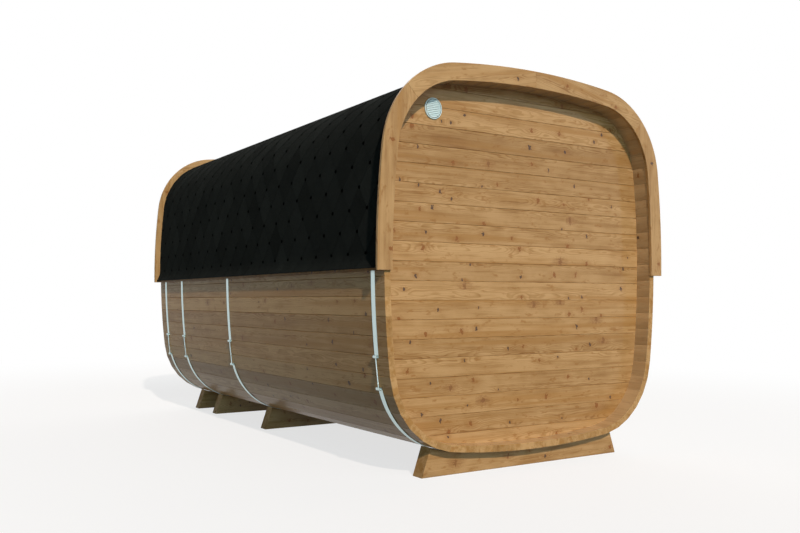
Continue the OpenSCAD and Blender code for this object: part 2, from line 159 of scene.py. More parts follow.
ARCS = make_arcs()
LENGTHS = [r * (b - a) for _, _, r, a, b in ARCS]
STARTS = [sum(LENGTHS[:i]) for i in range(len(ARCS) + 1)]
GIRTH = STARTS[-1]
RIDGE = GIRTH / 4
RIGHT_MID, RIGHT_MITRE, TOP_MID, LEFT_MITRE, LEFT_MID = [
    STARTS[i] + LENGTHS[i] / 2 for i in range(2, 7)]
STAVES = FLOOR_STAVES + 4 * CORNER_STAVES + 2 * SIDE_STAVES + ROOF_STAVES
STAVE_W = GIRTH / STAVES


def outline(s, off=0.0):
    """The point (x, z) at a distance s round the outline, moved outwards by off."""
    s %= GIRTH
    i = 0
    while i < len(ARCS) - 1 and s >= STARTS[i + 1]:
        i += 1
    cx, cz, r, a, _ = ARCS[i]
    angle = a + (s - STARTS[i]) / r
    return cx + (r + off) * math.cos(angle), MID_Z + cz + (r + off) * math.sin(angle)


def half_width(z, off=0.0):
    """Half the outline's width at height z, moved outwards by off; 0 above or below it."""
    z = abs(z - MID_Z)
    cx, cz, r, _, top_a = ARCS[3]
    side_cx, _, side_r, _, side_a = ARCS[2]
    if z <= (side_r + off) * math.sin(side_a):
        return side_cx + math.sqrt((side_r + off) ** 2 - z * z)
    if z <= cz + (r + off) * math.sin(top_a):
        return cx + math.sqrt(max((r + off) ** 2 - (z - cz) ** 2, 0))
    _, top_cz, top_r, _, _ = ARCS[4]
    return math.sqrt(max((top_r + off) ** 2 - (z - top_cz) ** 2, 0))


def half_height(x, off=0.0):
    """Half the outline's height at x, moved outwards by off; 0 beside it."""
    x = abs(x)
    cx, cz, r, side_a, top_a = ARCS[3]
    _, top_cz, top_r, _, _ = ARCS[4]
    if x <= (top_r + off) * math.cos(top_a):
        return top_cz + math.sqrt((top_r + off) ** 2 - x * x)
    if x <= cx + (r + off) * math.cos(side_a):
        return cz + math.sqrt(max((r + off) ** 2 - (x - cx) ** 2, 0))
    side_cx, _, side_r, _, _ = ARCS[2]
    return math.sqrt(max((side_r + off) ** 2 - (x - side_cx) ** 2, 0))


# ---------- meshes ----------

FAR = (0.0, 9.0, 9.0, 0.004)  # a knot out of sight


def new_object(name, data):
    """An object in the scene for a mesh, a lamp or a camera."""
    obj = bpy.data.objects.new(name, data)
    bpy.context.scene.collection.objects.link(obj)
    return obj


class Pile:
    """Closed solids in one mesh. Each corner carries three vectors for the material:
    grain (along, across and depth in its own board), knot (distance along and across from
    the nearest knot, and that knot's kind plus its radius) and board (tone, which face it is,
    and 1 on end grain). On the shingles, knot places the painted shade spots in the notches,
    and board's middle value the painted shade along a tab's edge."""

    def __init__(self, name):
        self.name = name
        self.points = []
        self.faces = []
        self.layers = {"grain": [], "knot": [], "board": []}

    def grid(self, rings, grain, board, shift=(0, 0, 0), knots=None, hues=None):
        """A solid from rings of points at stations along its length, capped at both ends.
        grain and hues hold a value for each point, knots one for each stretch."""
        base = len(self.points)
        count, last = len(rings[0]), len(rings) - 1
        flip = volume_sign(rings) < 0
        for ring in rings:
            self.points.extend(ring)
        moved = [[tuple(a + b for a, b in zip(g, shift)) for g in row] for row in grain]
        hues = hues or [[board[1]] * count] * len(rings)

        def face(places, knot, end, cap=False):
            if knot is not FAR:
                knot = (knot[0], knot[1] + shift[0], knot[2] + shift[1], knot[3])
            if flip:
                places = places[::-1]
            self.faces.append([base + i * count + j for i, j in places])
            for i, j in places:
                along, across, depth = moved[i][j]
                self.layers["grain"].extend((along, across, depth))
                self.layers["knot"].extend((along - knot[1], across - knot[2], knot[3]))
                self.layers["board"].extend((board[0], 0.0 if cap else hues[i][j], end))

        for i in range(last):
            knot = knots[i] if knots else FAR
            end = 1.0 if i in (0, last - 1) else 0.0
            for j in range(count):
                k = (j + 1) % count
                face([(i, j), (i, k), (i + 1, k), (i + 1, j)], knot, end)
        face([(0, j) for j in range(count)][::-1], FAR, 1.0, True)
        face([(last, j) for j in range(count)], FAR, 1.0, True)

    def build(self, material):
        """The finished object, smooth but for its sharper edges."""
        mesh = bpy.data.meshes.new(self.name)
        mesh.from_pydata(self.points, [], self.faces)
        for name, data in self.layers.items():
            layer = mesh.attributes.new(name, "FLOAT_VECTOR", "CORNER")
            layer.data.foreach_set("vector", data)
        mesh.polygons.foreach_set("use_smooth", [True] * len(mesh.polygons))
        mesh.set_sharp_from_angle(angle=math.radians(30))
        mesh.materials.append(material)
        mesh.update()
        return new_object(self.name, mesh)


def volume_sign(rings):
    """Positive where the grid's side faces already point outwards."""
    total = 0.0
    centre = Vector([sum(p[a] for r in rings for p in r) for a in range(3)])
    centre /= sum(len(r) for r in rings)
    m = len(rings[0])
    for i in range(len(rings) - 1):
        for j in range(m):
            a = Vector(rings[i][j]) - centre
            b = Vector(rings[i][(j + 1) % m]) - centre
            c = Vector(rings[i + 1][j]) - centre
            total += a.cross(b).dot(c)
    return total


def dress(piece, slot, *nodes):
    """Ties a finished piece to the frame, in place of the CAD nodes."""
    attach(piece, "root")
    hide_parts(*nodes)


# ---------- boards ----------

DARK_KNOT, BROWN_KNOT, SMEAR_KNOT = 0, 1, 2
# the last row whose share a draw reaches gives the kind, and the radius between two values
KNOT_KINDS = [(0.0, DARK_KNOT, 0.0065, 0.0115), (0.36, BROWN_KNOT, 0.009, 0.016),
              (0.78, DARK_KNOT, 0.009, 0.014), (0.87, SMEAR_KNOT, 0.012, 0.018)]
# knots: least and greatest distance of the first from a board's end, and their reach to each
# side of its middle as a share of its width
KNOT_END, KNOT_FIRST, KNOT_SPREAD = 0.05, 0.4, 0.42
BACK_FACE = 0.02  # deeper than this is a board's hidden side


def scatter_knots(length, width, per_metre=1.7, apart=0.10, feel=None):
    """Knots along a board of that length, its middle at 0, as (station, along, across, kind
    plus radius), with along and across in the board's own grain."""
    knots = []
    at = -length / 2 + rng.uniform(KNOT_END, KNOT_FIRST)
    while at < length / 2 - KNOT_END:
        draw = rng.random()
        for share, a_kind, smallest, largest in KNOT_KINDS:
            if draw >= share:
                kind, radius = a_kind, rng.uniform(smallest, largest)
        across = rng.uniform(-KNOT_SPREAD, KNOT_SPREAD) * width
        along, level = feel(at, across) if feel else (at, across)
        knots.append((at, along, level, kind + radius))
        at += apart + rng.expovariate(per_metre)
    return knots


def spaced(marks, gap):
    """The marks in order, without those that follow another by no more than the gap."""
    kept = []
    for mark in sorted(marks):
        if not kept or mark - kept[-1] > gap:
            kept.append(mark)
    return kept


def stations_for(length, knots, step=0.5, ends=0.0015):
    """Stations along a board: its ends, their bevels, the middles between knots and a step."""
    marks = [-length / 2, -length / 2 + ends, length / 2 - ends, length / 2]
    marks += [(a[0] + b[0]) / 2 for a, b in zip(knots, knots[1:])]
    count = max(1, round(length / step))
    marks += [-length / 2 + length * i / count for i in range(1, count)]
    return spaced(marks, ends * 0.9)


def nearest_knots(stations, knots):
    """The knot that each stretch between two stations shows, if any."""
    middles = [(a + b) / 2 for a, b in zip(stations, stations[1:])]
    return [min(knots, key=lambda k: abs(k[0] - middle), default=FAR) for middle in middles]


def log_shift(width):
    """A place in the log for a board's grain, so that no two boards look alike."""
    return rng.uniform(0, 60), rng.uniform(-0.6, 0.6) * width, rng.uniform(0.02, 0.10)


def board_look(spread=1.0):
    """The tone of one board, before its faces and ends are told apart."""
    return rng.gauss(0, 0.5) * spread, 0.0


def drawn_in(value, middle, inset):
    """A value moved towards the middle by the inset, and no further than the middle."""
    return value - math.copysign(min(inset, abs(value - middle)), value - middle)


def board(pile, length, width, profile, place, ends=0.0015, step=0.5, knotty=1.7, spread=1.0,
          feel=None):
    """One board: a profile of (across, depth) points, put in place at stations along it.
    feel gives the grain's (along, across) where they don't follow the board's own."""
    knots = scatter_knots(length, width, knotty, feel=feel)
    stations = stations_for(length, knots, step, ends)
    rings, grain = [], []
    middle_a, middle_d = [sum(column) / len(profile) for column in zip(*profile)]
    for i, at in enumerate(stations):
        inset = ends if i in (0, len(stations) - 1) else 0
        ring, data = [], []
        for across, depth in profile:
            a, d = drawn_in(across, middle_a, inset), drawn_in(depth, middle_d, inset)
            ring.append(place(at, a, d))
            along, level = feel(at, a) if feel else (at, a)
            data.append((along, level, d))
        rings.append(ring)
        grain.append(data)
    behind = [[1.0 if depth < -BACK_FACE else 0.0 for _, depth in profile] for _ in stations]
    pile.grid(rings, grain, board_look(spread), log_shift(width), nearest_knots(stations, knots),
              behind)


def shaped_board(pile, profile, stations, place, origin, look, shift, knots):
    """A board whose edges are cut to shape by place, while its grain runs straight, measured
    from an origin (x, z)."""
    rings = [[place(at, across, depth) for across, depth in profile] for at in stations]
    grain = [[(x - origin[0], z - origin[1], depth)
              for (x, _, z), (_, depth) in zip(ring, profile)] for ring in rings]
    pile.grid(rings, grain, look, shift, nearest_knots(stations, knots))


def panel_profile(width, thick, joint, inner=INNER_EDGE, facets=6):
    """A plank's section: outer face at depth 0, bevelled joints, inner face at -thick."""
    half = width / 2 - HALF_SLIT
    outer = [(-half + joint + (width - 2 * joint) * i / facets, 0.0) for i in range(facets + 1)]
    back = [(a, -thick) for a, _ in outer[::-1]]
    return ([(-half, -joint)] + outer + [(half, -joint), (half, -thick + inner)]
            + back + [(-half, -thick + inner)])


def box_profile(low_a, high_a, low_d, high_d, bevel):
    """A rectangle in (across, depth) with cut corners."""
    return [(low_a + bevel, low_d), (high_a - bevel, low_d), (high_a, low_d + bevel),
            (high_a, high_d - bevel), (high_a - bevel, high_d), (low_a + bevel, high_d),
            (low_a, high_d - bevel), (low_a, low_d + bevel)]


# ---------- node trees ----------

class Nodes:
    """A node tree, with short ways to add nodes."""

    def __init__(self, tree):
        self.tree = tree

    def node(self, kind, inputs=None, **settings):
        made = self.tree.nodes.new(kind)
        for key, value in settings.items():
            setattr(made, key, value)
        for key, value in (inputs or {}).items():
            self.put(made.inputs[key], value)
        return made

    def put(self, socket, value):
        """Links a socket's value, or sets it where it is a constant."""
        if isinstance(value, bpy.types.NodeSocket):
            self.tree.links.new(value, socket)
        else:
            socket.default_value = value

    def math(self, operation, a, b=0.0, c=0.0, clamp=False):
        return self.node("ShaderNodeMath", {0: a, 1: b, 2: c}, operation=operation,
                         use_clamp=clamp).outputs[0]

    def vector(self, operation, a, b=(0, 0, 0)):
        made = self.node("ShaderNodeVectorMath", {0: a, 1: b}, operation=operation)
        return made.outputs["Value" if operation == "LENGTH" else "Vector"]

    def split(self, vector):
        return self.node("ShaderNodeSeparateXYZ", {0: vector}).outputs

    def join(self, x, y, z):
        return self.node("ShaderNodeCombineXYZ", {0: x, 1: y, 2: z}).outputs[0]

    def smooth(self, value, low, high, start=0.0, end=1.0):
        """Runs from start to end while the value runs from low to high."""
        made = self.node("ShaderNodeMapRange", {0: value, 1: low, 2: high, 3: start, 4: end},
                         interpolation_type="SMOOTHSTEP")
        return made.outputs[0]

    def seen(self):
        """1 where the eye or a mirror image looks on, 0 where light only bounces."""
        rays = self.node("ShaderNodeLightPath").outputs
        seen = self.math("MAXIMUM", rays["Is Camera Ray"], rays["Is Glossy Ray"])
        return self.math("MAXIMUM", seen, rays["Is Transmission Ray"])

    def blend(self, factor, first, second, output):
        """Ends the tree in a blend of two shaders."""
        mixed = self.node("ShaderNodeMixShader", {0: factor, 1: first, 2: second})
        self.put(self.tree.nodes[output].inputs[0], mixed.outputs[0])


class Shader(Nodes):
    """A new material's node tree."""

    def __init__(self, name):
        self.material = bpy.data.materials.new(name)
        self.material.use_nodes = True
        super().__init__(self.material.node_tree)
        self.bsdf = self.tree.nodes["Principled BSDF"]

    def attribute(self, name):
        return self.node("ShaderNodeAttribute", attribute_name=name).outputs["Vector"]

    def position(self):
        return self.node("ShaderNodeTexCoord").outputs["Object"]

    def noise(self, vector, scale, detail, roughness=0.5):
        made = self.node("ShaderNodeTexNoise", {"Vector": vector, "Scale": scale,
                                                "Detail": detail, "Roughness": roughness})
        return made.outputs[0]

    def drawn_noise(self, grain, share, scale, detail, roughness=0.5):
        """Noise drawn out along the grain, whose length counts only for this share."""
        along, across, depth = grain
        drawn = self.join(self.math("MULTIPLY", along, share), across, depth)
        return self.noise(drawn, scale, detail, roughness)

    def mix(self, factor, a, b, blend="MIX"):
        made = self.node("ShaderNodeMix", data_type="RGBA", blend_type=blend)
        self.put(made.inputs[0], factor)
        self.put(made.inputs[6], a)
        self.put(made.inputs[7], b)
        return made.outputs[2]

    def dim(self, colour, level):
        """A colour times a level."""
        return self.mix(1.0, colour, self.join(level, level, level), "MULTIPLY")

    def bump(self, height, distance, strength=1.0):
        inputs = {"Height": height, "Distance": distance, "Strength": strength}
        return self.node("ShaderNodeBump", inputs).outputs[0]

    def set(self, **inputs):
        """Sets the surface's inputs, and gives the finished material."""
        for key, value in inputs.items():
            self.put(self.bsdf.inputs[key.replace("_", " ")], value)
        return self.material


def srgb(r, g, b):
    """A colour as it is read off a screen, in the shader's linear terms."""
    linear = [(v / 255 / 12.92) if v <= 10 else ((v / 255 + 0.055) / 1.055) ** 2.4
              for v in (r, g, b)]
    return (*linear, 1.0)


# ---------- wood ----------

RING_W = 0.0045
DARK_WOOD = srgb(135, 92, 46)
BOARD_TONES = srgb(186, 147, 99), srgb(168, 128, 79), DARK_WOOD
TRIM_TONES = srgb(188, 149, 100), srgb(172, 133, 85), DARK_WOOD
BATTEN_TONES = srgb(124, 88, 42), srgb(108, 74, 32), srgb(82, 56, 24)
HANDLE_TONES = srgb(150, 104, 64), srgb(132, 88, 52), srgb(104, 66, 38)
HEARTWOOD, RESIN, BARE_WOOD = srgb(156, 106, 44), srgb(146, 98, 46), srgb(200, 178, 142)
KNOT_HALO, KNOT_RAYS = srgb(150, 102, 52), srgb(126, 84, 48)
DARK_BODY, DARK_RIM = srgb(84, 62, 54), srgb(60, 44, 41)
BROWN_BODY, BROWN_RIM = srgb(142, 86, 40), srgb(128, 78, 36)


def wood(name, tones, grain_from=None, gloss=0.25, inner=0.25, bare=0.0, knotty=True):
    """Varnished softwood cut from a log, in a pale, a middle and a dark tone. gloss is the
    varnish on a board's outer face, inner that on its other faces, and bare how far those
    other faces keep the pale look of bare wood."""
    sh = Shader(name)
    vec = grain_from(sh) if grain_from else sh.attribute("grain")
    grain = sh.split(vec)
    board_tone, hidden, end = sh.split(sh.attribute("board"))
    knot_a, knot_c, coded = sh.split(sh.attribute("knot"))
    knot = knot_a, knot_c, sh.math("FRACT", coded)

    from_heart, late = growth_rings(sh, grain, knot)
    fine = sh.drawn_noise((grain[0], grain[1], from_heart), 0.02, 150, 3, 0.6)
    fibre = sh.drawn_noise(grain, 0.03, 900, 2, 0.6)
    tone = wood_tone(sh, grain, late, fine, board_tone, end)
    colour = wood_colour(sh, grain, tone, tones)
    level = sh.math("MULTIPLY_ADD", board_tone, -0.06, 1.0)
    level = sh.math("ADD", level, sh.math("MULTIPLY_ADD", fibre, 0.14, -0.07))
    colour = sh.mix(sh.math("MULTIPLY", hidden, bare), sh.dim(colour, level), BARE_WOOD)
    if knotty:
        colour = knots_over(sh, colour, vec, knot, sh.math("FLOOR", coded), fine)

    height = sh.math("MULTIPLY_ADD", late, 0.3, sh.math("MULTIPLY", fibre, 0.35))
    varnish = sh.math("MULTIPLY_ADD", hidden, inner - gloss, gloss)
    varnish = sh.math("MULTIPLY", varnish, sh.math("SUBTRACT", 1.0, end))
    return sh.set(Base_Color=colour, Roughness=sh.math("MULTIPLY_ADD", fine, 0.16, 0.40),
                  Normal=sh.bump(height, 0.0004, 0.5), Coat_Weight=varnish,
                  Coat_Roughness=0.16, Specular_IOR_Level=0.08)


def growth_rings(sh, grain, knot):
    """The distance from the log's heart, bent round the knots, and the dark late wood that
    ends each year's ring."""
    _, across, depth = grain
    bend = sh.smooth(knot_radii(sh, knot, 0.42, 1.0), 0.0, 4.0, 1.0, 0.0)
    swell = sh.math("MULTIPLY", bend, sh.math("MULTIPLY", knot[2], 0.7))
    wander = sh.math("MULTIPLY_ADD", sh.drawn_noise(grain, 0.22, 6, 3), 0.060, -0.030)
    radius = sh.vector("LENGTH", sh.join(0.0, across, depth))
    radius = sh.math("ADD", sh.math("ADD", radius, swell), wander)
    turn = sh.math("FRACT", sh.math("DIVIDE", radius, RING_W))
    late = sh.math("MULTIPLY", sh.smooth(turn, 0.35, 0.85), sh.smooth(turn, 0.9, 1.0, 1.0, 0.0))
    return radius, late


def wood_tone(sh, grain, late, fine, board_tone, end):
    """From 0, pale, to 1, dark: late wood, streaks, the board's own tone and soft clouds."""
    streak = sh.drawn_noise(grain, 0.05, 30, 3, 0.6)
    cloud = sh.drawn_noise(grain, 0.6, 9, 3)
    tone = sh.math("MULTIPLY", late, sh.math("MULTIPLY_ADD", end, -0.33, 0.43))
    tone = sh.math("ADD", tone, sh.smooth(fine, 0.45, 0.75, 0.0, 0.28))
    tone = sh.math("ADD", tone, sh.smooth(streak, 0.42, 0.72, 0.0, 0.46))
    tone = sh.math("ADD", tone, sh.math("MULTIPLY", board_tone, 0.19))
    return sh.math("ADD", tone, sh.math("MULTIPLY_ADD", cloud, 1.0, -0.45), clamp=True)


def wood_colour(sh, grain, tone, tones):
    """The colour of a tone, with bands of warm heartwood and orange smears of resin."""
    pale, middle, dark = tones
    heart = sh.drawn_noise(grain, 0.03, 14, 2)
    smear = sh.drawn_noise(grain, 0.45, 26, 3, 0.6)
    colour = sh.mix(sh.smooth(tone, 0.0, 0.5), pale, middle)
    colour = sh.mix(sh.smooth(tone, 0.45, 1.15), colour, dark)
    warm = sh.mix(0.5, middle, HEARTWOOD)
    colour = sh.mix(sh.smooth(heart, 0.52, 0.66, 0.0, 0.75), colour, warm)
    return sh.mix(sh.smooth(smear, 0.57, 0.72, 0.0, 0.65), colour, RESIN)


def knot_radii(sh, knot, along, across):
    """The distance from a knot in knot radii, its two directions weighed."""
    knot_a, knot_c, radius = knot
    place = sh.join(sh.math("MULTIPLY", knot_a, along), sh.math("MULTIPLY", knot_c, across), 0.0)
    return sh.math("DIVIDE", sh.vector("LENGTH", place), radius)


def warped(sh, vec, knot):
    """The knot with the places round it pushed about, so that its edge is uneven."""
    knot_a, knot_c, radius = knot
    warp = sh.node("ShaderNodeTexNoise", {"Vector": vec, "Scale": 75.0, "Detail": 2.0})
    warp = sh.vector("SUBTRACT", warp.outputs["Color"], (0.5, 0.5, 0.5))
    push = sh.math("MULTIPLY", radius, 3.0)
    warp_a, warp_c, _ = sh.split(sh.vector("MULTIPLY", warp, sh.join(push, push, push)))
    return sh.math("ADD", knot_a, warp_a), sh.math("ADD", knot_c, warp_c), radius


def knots_over(sh, colour, vec, knot, kind, fine):
    """Lays the knots over the wood. A knot's body stands taller across the grain, and its halo
    lies longer along it; a smear is fainter and has dark rays."""
    knot = warped(sh, vec, knot)
    ragged = sh.math("MULTIPLY_ADD", sh.noise(vec, 160, 2, 0.6), 0.8, 0.6)
    near = sh.math("MULTIPLY", knot_radii(sh, knot, 1.15, 0.78), ragged)
    wide = sh.math("MULTIPLY", knot_radii(sh, knot, 0.42, 1.0), ragged)
    brown = sh.math("COMPARE", kind, float(BROWN_KNOT), 0.5)
    smudge = sh.math("COMPARE", kind, float(SMEAR_KNOT), 0.5)
    ruddy = sh.math("MULTIPLY_ADD", smudge, 0.75, brown)

    colour = sh.mix(sh.smooth(wide, 0.6, 2.6, 0.38, 0.0), colour, KNOT_HALO)
    body = sh.mix(ruddy, DARK_BODY, BROWN_BODY)
    rim = sh.mix(ruddy, DARK_RIM, BROWN_RIM)
    core = sh.mix(sh.smooth(near, 0.2, 0.95), body, rim)
    inside = sh.smooth(near, 0.7, 1.3, 0.93, 0.0)
    inside = sh.math("MULTIPLY", inside, sh.math("MULTIPLY_ADD", smudge, -0.25, 1.0))
    colour = sh.mix(inside, colour, core)
    rays = sh.math("MULTIPLY", sh.smooth(wide, 0.9, 2.6, 0.5, 0.0), smudge)
    rays = sh.math("MULTIPLY", rays, sh.smooth(fine, 0.40, 0.62))
    return sh.mix(rays, colour, KNOT_RAYS)


def upright_grain(sh):
    """Grain coordinates for the handle, which stands along Z beside the log's heart."""
    x, y, z = sh.split(sh.position())
    return sh.join(z, sh.math("ADD", x, 0.03), sh.math("ADD", y, -1.8))


# ---------- felt, steel and plastic ----------

def shingle_material():
    """Black mineral felt: crushed granules, a tone of its own for each tab, painted shade spots
    in the notches and painted shade along each tab's edge.
    """
    sh = Shader("shingle_felt")
    vec = sh.attribute("grain")
    tone, rim, _ = sh.split(sh.attribute("board"))
    spot_a, spot_c, spot_r = sh.split(sh.attribute("knot"))
    grit = sh.node("ShaderNodeTexVoronoi", {"Vector": vec, "Scale": 650.0}).outputs["Color"]
    grit = sh.split(grit)[0]
    patch = sh.noise(vec, 9, 4, 0.6)
    level = sh.math("MULTIPLY_ADD", grit, 0.9, 0.55)
    level = sh.math("MULTIPLY", level, sh.math("MULTIPLY_ADD", tone, 0.12, 1.0))
    level = sh.math("MULTIPLY", level, sh.math("MULTIPLY_ADD", patch, 0.4, 0.8))
    # painted shade: the felt seen through each notch is darkened, for the shade in the hole
    notch_shade_level = sh.vector("LENGTH", sh.join(spot_a, spot_c, 0.0))
    notch_shade_level = sh.smooth(sh.math("DIVIDE", notch_shade_level, spot_r), 0.8, 1.2, 0.02, 1.0)
    level = sh.math("MULTIPLY", level, notch_shade_level)
    # painted shade: the felt darkens over the rim band at each tab's edge and on its edge faces,
    # for the shade line at the step
    level = sh.math("MULTIPLY", level, sh.smooth(rim, 0.0, 1.0, 0.75, 1.0))
    return sh.set(Base_Color=sh.dim(srgb(34, 36, 34), level), Roughness=1.0,
                  Normal=sh.bump(grit, 0.0006, 0.6),
                  Specular_IOR_Level=sh.math("MULTIPLY", notch_shade_level, 0.01))


def steel_material(name, rough, thread=0.0):
    """Zinc-coated steel, faintly clouded and brushed; thread is the pitch of a rod's turns."""
    sh = Shader(name)
    place = sh.position()
    cloud = sh.noise(place, 14, 3, 0.6)
    brushed = sh.noise(sh.vector("MULTIPLY", place, (1, 1, 40)), 60, 3, 0.6)
    level = sh.math("MULTIPLY_ADD", cloud, 0.14, sh.math("MULTIPLY_ADD", brushed, 0.10, 0.86))
    height, depth = brushed, 0.0002
    if thread:
        turns = sh.math("MULTIPLY", sh.split(place)[2], 2 * math.pi / thread)
        height, depth = sh.math("SINE", turns), 0.0003
    return sh.set(Base_Color=sh.dim(srgb(193, 211, 210), level), Metallic=1.0,
                  Normal=sh.bump(height, depth, 0.5),
                  Roughness=sh.math("MULTIPLY_ADD", brushed, 0.14, rough))


def vent_material():
    """Moulded plastic, very slightly mottled, with painted shade in the groove inside the rim.
    """
    sh = Shader("vent_plastic")
    place = sh.position()
    mottle = sh.noise(place, 40, 3, 0.6)
    colour = sh.mix(mottle, srgb(204, 223, 222), srgb(196, 216, 215))
    x, y, z = sh.split(place)
    radius = sh.vector("LENGTH", sh.join(sh.math("SUBTRACT", x, DUCT[0]), 0.0,
                                         sh.math("SUBTRACT", z, DUCT[1])))
    # painted shade: below the face, the groove inside the rim is coloured dark, for the shade in
    # it
    groove = sh.math("COMPARE", radius, GROOVE_R, GROOVE_W / 2 + GAP)
    sunk = sh.smooth(y, VENT_LOW.y + 0.0005, VENT_LOW.y + 0.002)
    colour = sh.mix(sh.math("MULTIPLY", groove, sunk), colour, srgb(52, 60, 60))
    fine = sh.noise(place, 1800, 2)
    return sh.set(Base_Color=colour, Roughness=0.38, Normal=sh.bump(fine, 0.0001, 0.1))


# ---------- the shell ----------

def stave(pile, joint, profile):
    """The flat-faced stave that starts at this joint, counted from the bottom middle."""
    def place(along, across, depth):
        share = across / STAVE_W + 0.5
        x1, z1 = outline(joint * STAVE_W, depth)
        x2, z2 = outline((joint + 1) * STAVE_W, depth)
        return x1 + (x2 - x1) * share, along, z1 + (z2 - z1) * share

    board(pile, 2 * HALF_L, STAVE_W, profile, place, ends=STAVE_END)


def shell(material):
    """The eight panels of the shell, with closer joints where light grazes the inner faces."""
    counts = {"shell_floor": FLOOR_STAVES, "corner_low_right": CORNER_STAVES,
              "shell_right": SIDE_STAVES, "corner_top_right": CORNER_STAVES,
              "shell_roof": ROOF_STAVES, "corner_top_left": CORNER_STAVES,
              "shell_left": SIDE_STAVES, "corner_low_left": CORNER_STAVES}
    joint = -FLOOR_STAVES // 2
    for node, count in counts.items():
        edge = TIGHT_EDGE if "floor" in node or "low" in node else INNER_EDGE
        profile = panel_profile(STAVE_W, STAVE_T, STAVE_JOINT, edge, facets=1)
        pile = Pile("staves_floor" if node == "shell_floor" else "staves_" + node)
        for k in range(joint, joint + count):
            stave(pile, k, profile)
        dress(pile.build(material), "stave_wood", node)
        joint += count


# ---------- end walls ----------

def end_walls(material):
    """The rear wall, and the four parts of the front wall round the doorway."""
    flat = 0.001  # what the lowest and the highest board lose to the arch's crest
    low, high = GROUND_GAP - WALL_OFF + flat, TOP_Z + WALL_OFF - flat
    door_low, door_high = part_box("door_frame")
    opening = door_high.x + GAP

    def right_edge(z):
        return half_width(z, WALL_OFF)

    def left_edge(z):
        return -half_width(z, WALL_OFF)

    def right_jamb(z):
        return min(opening, right_edge(z))

    def left_jamb(z):
        return max(-opening, left_edge(z))

    lintel, sill = door_high.z + GAP, door_low.z - GAP
    parts = [("rear_wall", low, high, left_edge, right_edge),
             ("front_wall_right", low, high, right_jamb, right_edge),
             ("front_wall_left", low, high, left_edge, left_jamb),
             ("front_wall_head", lintel, high, left_jamb, right_jamb),
             ("front_wall_sill", low, sill, left_jamb, right_jamb)]
    for node, bottom, top, x_from, x_to in parts:
        facing = -1 if node == "rear_wall" else 1
        pile = Pile("boards_" + node.replace("_wall", ""))
        for low_z, high_z in board_rows(bottom, top):
            wall_board(pile, facing, low_z, high_z, x_from, x_to)
        dress(pile.build(material), "wall_wood", node)


def board_rows(low, high):
    """The (bottom, top) of each wall board between two heights, from the highest down."""
    top_joint = TOP_Z - BOARD_DROP
    rows = []
    for k in range(math.ceil(2 * HALF_H / BOARD_H) + 1):
        bottom = max(top_joint - k * BOARD_H, low)
        top = min(top_joint - (k - 1) * BOARD_H, high)
        if top - bottom >= LEAST_H:
            rows.append((bottom, top))
    return rows


def wall_board(pile, facing, bottom, top, x_from, x_to):
    """One wall board; x_from and x_to give its ends at a height. Its ends or its long edge are
    cut to the wall's outline, and it is notched round the vent's duct."""
    end_in, edge_in = 0.03, 0.004
    middle, height = (bottom + top) / 2, top - bottom
    spans = [(x_from(z), x_to(z)) for z in (bottom + edge_in, middle, top - edge_in)]
    left, right = max(spans, key=lambda span: span[1] - span[0])
    length, centre = right - left, (left + right) / 2
    straight = max(a for a, _ in spans) + end_in, min(b for _, b in spans) - end_in
    arched = length - (straight[1] - straight[0]) > 2 * end_in + height
    knots = scatter_knots(length, height, per_metre=2.6, apart=0.07)
    stations = stations_for(length, knots, step=0.03 if arched else 0.5)
    duct = DUCT if facing < 0 and abs(DUCT[1] - middle) < height / 2 + DUCT_R else None
    if duct:
        stations = spaced(stations + duct_marks(duct[0] - centre), GAP)

    def place(at, across, depth):
        along = centre + at
        reach = half_height(along, WALL_OFF) if arched else HALF_H
        low, high = max(bottom, MID_Z - reach), min(top, MID_Z + reach)
        z = notched(along, low, high, across / height + 0.5, duct)
        x = along if arched else slid(along, (left, right), straight, (x_from(z), x_to(z)))
        return x, facing * (HALF_L - RECESS + depth), z

    profile = panel_profile(height, WALL_T, BOARD_JOINT, BOARD_JOINT, facets=3)
    shaped_board(pile, profile, stations, place, (centre, middle), board_look(),
                 log_shift(height), knots)


def duct_marks(at):
    """Stations round the duct's hole, whose middle is at this station."""
    step, beside = 10, 0.0005
    marks = [at + DUCT_R * math.sin(math.radians(turn)) for turn in range(-90, 91, step)]
    return marks + [at - DUCT_R - beside, at + DUCT_R + beside]


def slid(x, longest, straight, ends):
    """Slides a place along a board's longest edge to another edge: the straight part stays,
    the rest is drawn in or out to meet that edge's own ends."""
    a, b = straight
    if x < a:
        return a - (a - x) * (a - ends[0]) / (a - longest[0])
    if x > b:
        return b + (x - b) * (ends[1] - b) / (longest[1] - b)
    return x


def notched(x, bottom, top, share, duct):
    """Height at a share of a board that stops short of the duct, where there is one."""
    if duct and abs(x - duct[0]) <= DUCT_R + 0.0001:
        rise = math.sqrt(max(DUCT_R ** 2 - (x - duct[0]) ** 2, 0))
        if top > duct[1] > bottom:
            top = min(top, duct[1] - rise)
        elif bottom > duct[1]:
            bottom = max(bottom, duct[1] + rise)
    return bottom + (top - bottom) * share


# ---------- arch trim ----------

def trims(material):
    """Four trim boards on each end, mitred at the corners and butted at the top."""
    spans = {"right": (RIGHT_MID - TRIM_FOOT, RIGHT_MITRE), "top_right": (RIGHT_MITRE, TOP_MID),
             "top_left": (TOP_MID, LEFT_MITRE), "left": (LEFT_MITRE, LEFT_MID + TRIM_FOOT)}
    for end, face in (("rear", -HALF_L), ("front", HALF_L)):
        for side, (first, last) in spans.items():
            pile = Pile(f"arch_{end}_{side}")
            trim_board(pile, first, last, face)
            dress(pile.build(material), "trim_wood", f"{end}_trim_{side}")


